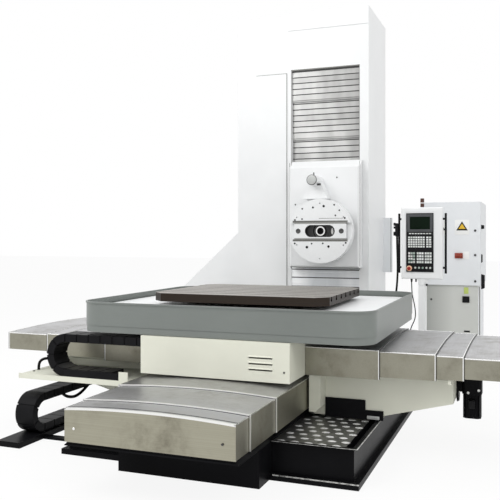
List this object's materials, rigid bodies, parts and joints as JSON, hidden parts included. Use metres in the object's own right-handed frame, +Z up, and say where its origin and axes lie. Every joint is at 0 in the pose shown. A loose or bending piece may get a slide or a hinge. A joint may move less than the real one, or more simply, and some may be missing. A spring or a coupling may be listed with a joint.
{
  "type": "horizontal boring mill",
  "caption": "Table-type horizontal boring and milling machine with a facing head, sliding and turning T-slot table in a tray, telescopic steel way covers, pendant and cabinet.",
  "frame": {"origin": "on the floor, under the axis of the rotary table at mid travel", "axes": "+Y from the operator to the column, +X to the operator's right along the table's cross travel, +Z up"},
  "size_m": [3.924, 5.767, 3.89],
  "materials": {
    "black_paint": "satin black paint",
    "cream_paint": "satin off-white paint",
    "white_paint": "satin white paint",
    "grey_paint": "satin grey paint",
    "light_grey_paint": "fine texture light grey paint",
    "stainless": "brushed stainless sheet",
    "slat_steel": "bright rolled slats",
    "tread_steel": "pressed tread plate",
    "bare_steel": "ground steel",
    "table_iron": "scraped iron, oiled",
    "black_plastic": "matt black nylon"
  },
  "bodies": {
    "bed": {"bed": "black_paint", "bed_front_bracket": "black_paint", "floor_channel": "black_paint", "trough_right": "black_paint", "trough_left": "black_paint", "tread_plate_right": "tread_steel", "tread_plate_left": "tread_steel", "z_cover_1": "stainless", "rear_cover_3": "stainless", "column_base": "white_paint", "column": "white_paint", "column_cap_left": "white_paint", "column_cap_right": "white_paint", "column_panel": "white_paint", "column_brace": "white_paint", "lower_leaf_3": "slat_steel", "pendant_post": "white_paint", "floor_duct": "grey_paint", "cabinet": "light_grey_paint", "rear_guard": "light_grey_paint"},
    "z_cover_middle": {"z_cover_2": "stainless"},
    "rear_cover_middle": {"rear_cover_2": "stainless"},
    "z_chain_loop": {"z_chain": "black_plastic"},
    "saddle": {"saddle": "cream_paint", "splash_plate_right": "black_paint", "splash_plate_left": "black_paint", "chain_shelf": "cream_paint", "chain_hanger": "black_paint", "z_cover_3": "stainless", "rear_cover_1": "stainless", "x_cover_right_4": "stainless", "x_cover_left_4": "stainless", "x_motor": "black_paint"},
    "cross_slide": {"cross_slide": "cream_paint", "front_box": "cream_paint", "tray": "grey_paint", "table_base": "white_paint", "x_cover_right_1": "stainless", "x_cover_left_1": "stainless"},
    "right_cover_2": {"x_cover_right_2": "stainless"},
    "right_cover_3": {"x_cover_right_3": "stainless"},
    "left_cover_2": {"x_cover_left_2": "stainless"},
    "left_cover_3": {"x_cover_left_3": "stainless"},
    "x_chain_loop": {"x_chain": "black_plastic"},
    "table": {"table": "table_iron"},
    "headstock": {"headstock": "white_paint", "nose_cylinder": "white_paint", "upper_leaf_1": "slat_steel", "lower_leaf_1": "slat_steel"},
    "upper_middle_leaf": {"upper_leaf_2": "slat_steel"},
    "upper_outer_leaf": {"upper_leaf_3": "slat_steel"},
    "lower_middle_leaf": {"lower_leaf_2": "slat_steel"},
    "faceplate": {"faceplate": "white_paint"},
    "facing_slide": {"facing_slide": "bare_steel"},
    "spindle_sleeve": {"spindle_sleeve": "bare_steel"},
    "spindle": {"spindle": "bare_steel"},
    "pendant": {"pendant": "white_paint", "pendant_handles": "black_plastic"},
    "cabinet_door": {"cabinet_door": "light_grey_paint"}
  },
  "joints": [
    {"name": "saddle_travel", "type": "slide", "parent": "bed", "child": "saddle", "axis": [0, 1, 0], "range_m": [-0.5, 0.5]},
    {"name": "z_cover_follow", "type": "slide", "parent": "bed", "child": "z_cover_middle", "axis": [0, 1, 0], "range_m": [-0.15, 0.15]},
    {"name": "rear_cover_follow", "type": "slide", "parent": "bed", "child": "rear_cover_middle", "axis": [0, 1, 0], "range_m": [-0.25, 0.25]},
    {"name": "z_chain_follow", "type": "slide", "parent": "bed", "child": "z_chain_loop", "axis": [0, 1, 0], "range_m": [-0.25, 0.25]},
    {"name": "table_travel", "type": "slide", "parent": "saddle", "child": "cross_slide", "axis": [1, 0, 0], "range_m": [-0.45, 0.45]},
    {"name": "right_cover_2_follow", "type": "slide", "parent": "saddle", "child": "right_cover_2", "axis": [1, 0, 0], "range_m": [-0.225, 0.225]},
    {"name": "right_cover_3_follow", "type": "slide", "parent": "saddle", "child": "right_cover_3", "axis": [1, 0, 0], "range_m": [-0.1125, 0.1125]},
    {"name": "left_cover_2_follow", "type": "slide", "parent": "saddle", "child": "left_cover_2", "axis": [1, 0, 0], "range_m": [-0.225, 0.225]},
    {"name": "left_cover_3_follow", "type": "slide", "parent": "saddle", "child": "left_cover_3", "axis": [1, 0, 0], "range_m": [-0.1125, 0.1125]},
    {"name": "x_chain_follow", "type": "slide", "parent": "saddle", "child": "x_chain_loop", "axis": [1, 0, 0], "range_m": [-0.225, 0.225]},
    {"name": "table_turn", "type": "hinge", "parent": "cross_slide", "child": "table", "pos_m": [0, 0, 1], "axis": [0, 0, 1], "continuous": true},
    {"name": "headstock_travel", "type": "slide", "parent": "bed", "child": "headstock", "axis": [0, 0, 1], "range_m": [-0.15, 0.75]},
    {"name": "upper_middle_follow", "type": "slide", "parent": "bed", "child": "upper_middle_leaf", "axis": [0, 0, 1], "range_m": [-0.09, 0.45]},
    {"name": "upper_outer_follow", "type": "slide", "parent": "bed", "child": "upper_outer_leaf", "axis": [0, 0, 1], "range_m": [-0.045, 0.225]},
    {"name": "lower_middle_follow", "type": "slide", "parent": "bed", "child": "lower_middle_leaf", "axis": [0, 0, 1], "range_m": [-0.075, 0.375]},
    {"name": "faceplate_turn", "type": "hinge", "parent": "headstock", "child": "faceplate", "pos_m": [0, 1.8, 1.55], "axis": [0, 1, 0], "continuous": true},
    {"name": "facing_slide_feed", "type": "slide", "parent": "faceplate", "child": "facing_slide", "axis": [1, 0, 0], "range_m": [-0.08, 0.08]},
    {"name": "spindle_turn", "type": "hinge", "parent": "headstock", "child": "spindle_sleeve", "pos_m": [0, 1.9, 1.55], "axis": [0, 1, 0], "continuous": true},
    {"name": "spindle_feed", "type": "slide", "parent": "spindle_sleeve", "child": "spindle", "axis": [0, -1, 0], "range_m": [0, 0.45]},
    {"name": "pendant_swivel", "type": "hinge", "parent": "bed", "child": "pendant", "pos_m": [1, 1.812, 1.022], "axis": [0, 0, 1], "range_deg": [-45, 45]},
    {"name": "cabinet_door_swing", "type": "hinge", "parent": "bed", "child": "cabinet_door", "pos_m": [0.866, 2.925, 1.4], "axis": [0, 0, -1], "range_deg": [0, 110]}
  ],
  "couplings": [
    {"joint": "z_cover_follow", "follows": "saddle_travel", "ratio": 0.3},
    {"joint": "rear_cover_follow", "follows": "saddle_travel", "ratio": 0.5},
    {"joint": "z_chain_follow", "follows": "saddle_travel", "ratio": 0.5},
    {"joint": "right_cover_2_follow", "follows": "table_travel", "ratio": 0.5},
    {"joint": "right_cover_3_follow", "follows": "table_travel", "ratio": 0.25},
    {"joint": "left_cover_2_follow", "follows": "table_travel", "ratio": 0.5},
    {"joint": "left_cover_3_follow", "follows": "table_travel", "ratio": 0.25},
    {"joint": "x_chain_follow", "follows": "table_travel", "ratio": 0.5},
    {"joint": "upper_middle_follow", "follows": "headstock_travel", "ratio": 0.6},
    {"joint": "upper_outer_follow", "follows": "headstock_travel", "ratio": 0.3},
    {"joint": "lower_middle_follow", "follows": "headstock_travel", "ratio": 0.5}
  ]
}
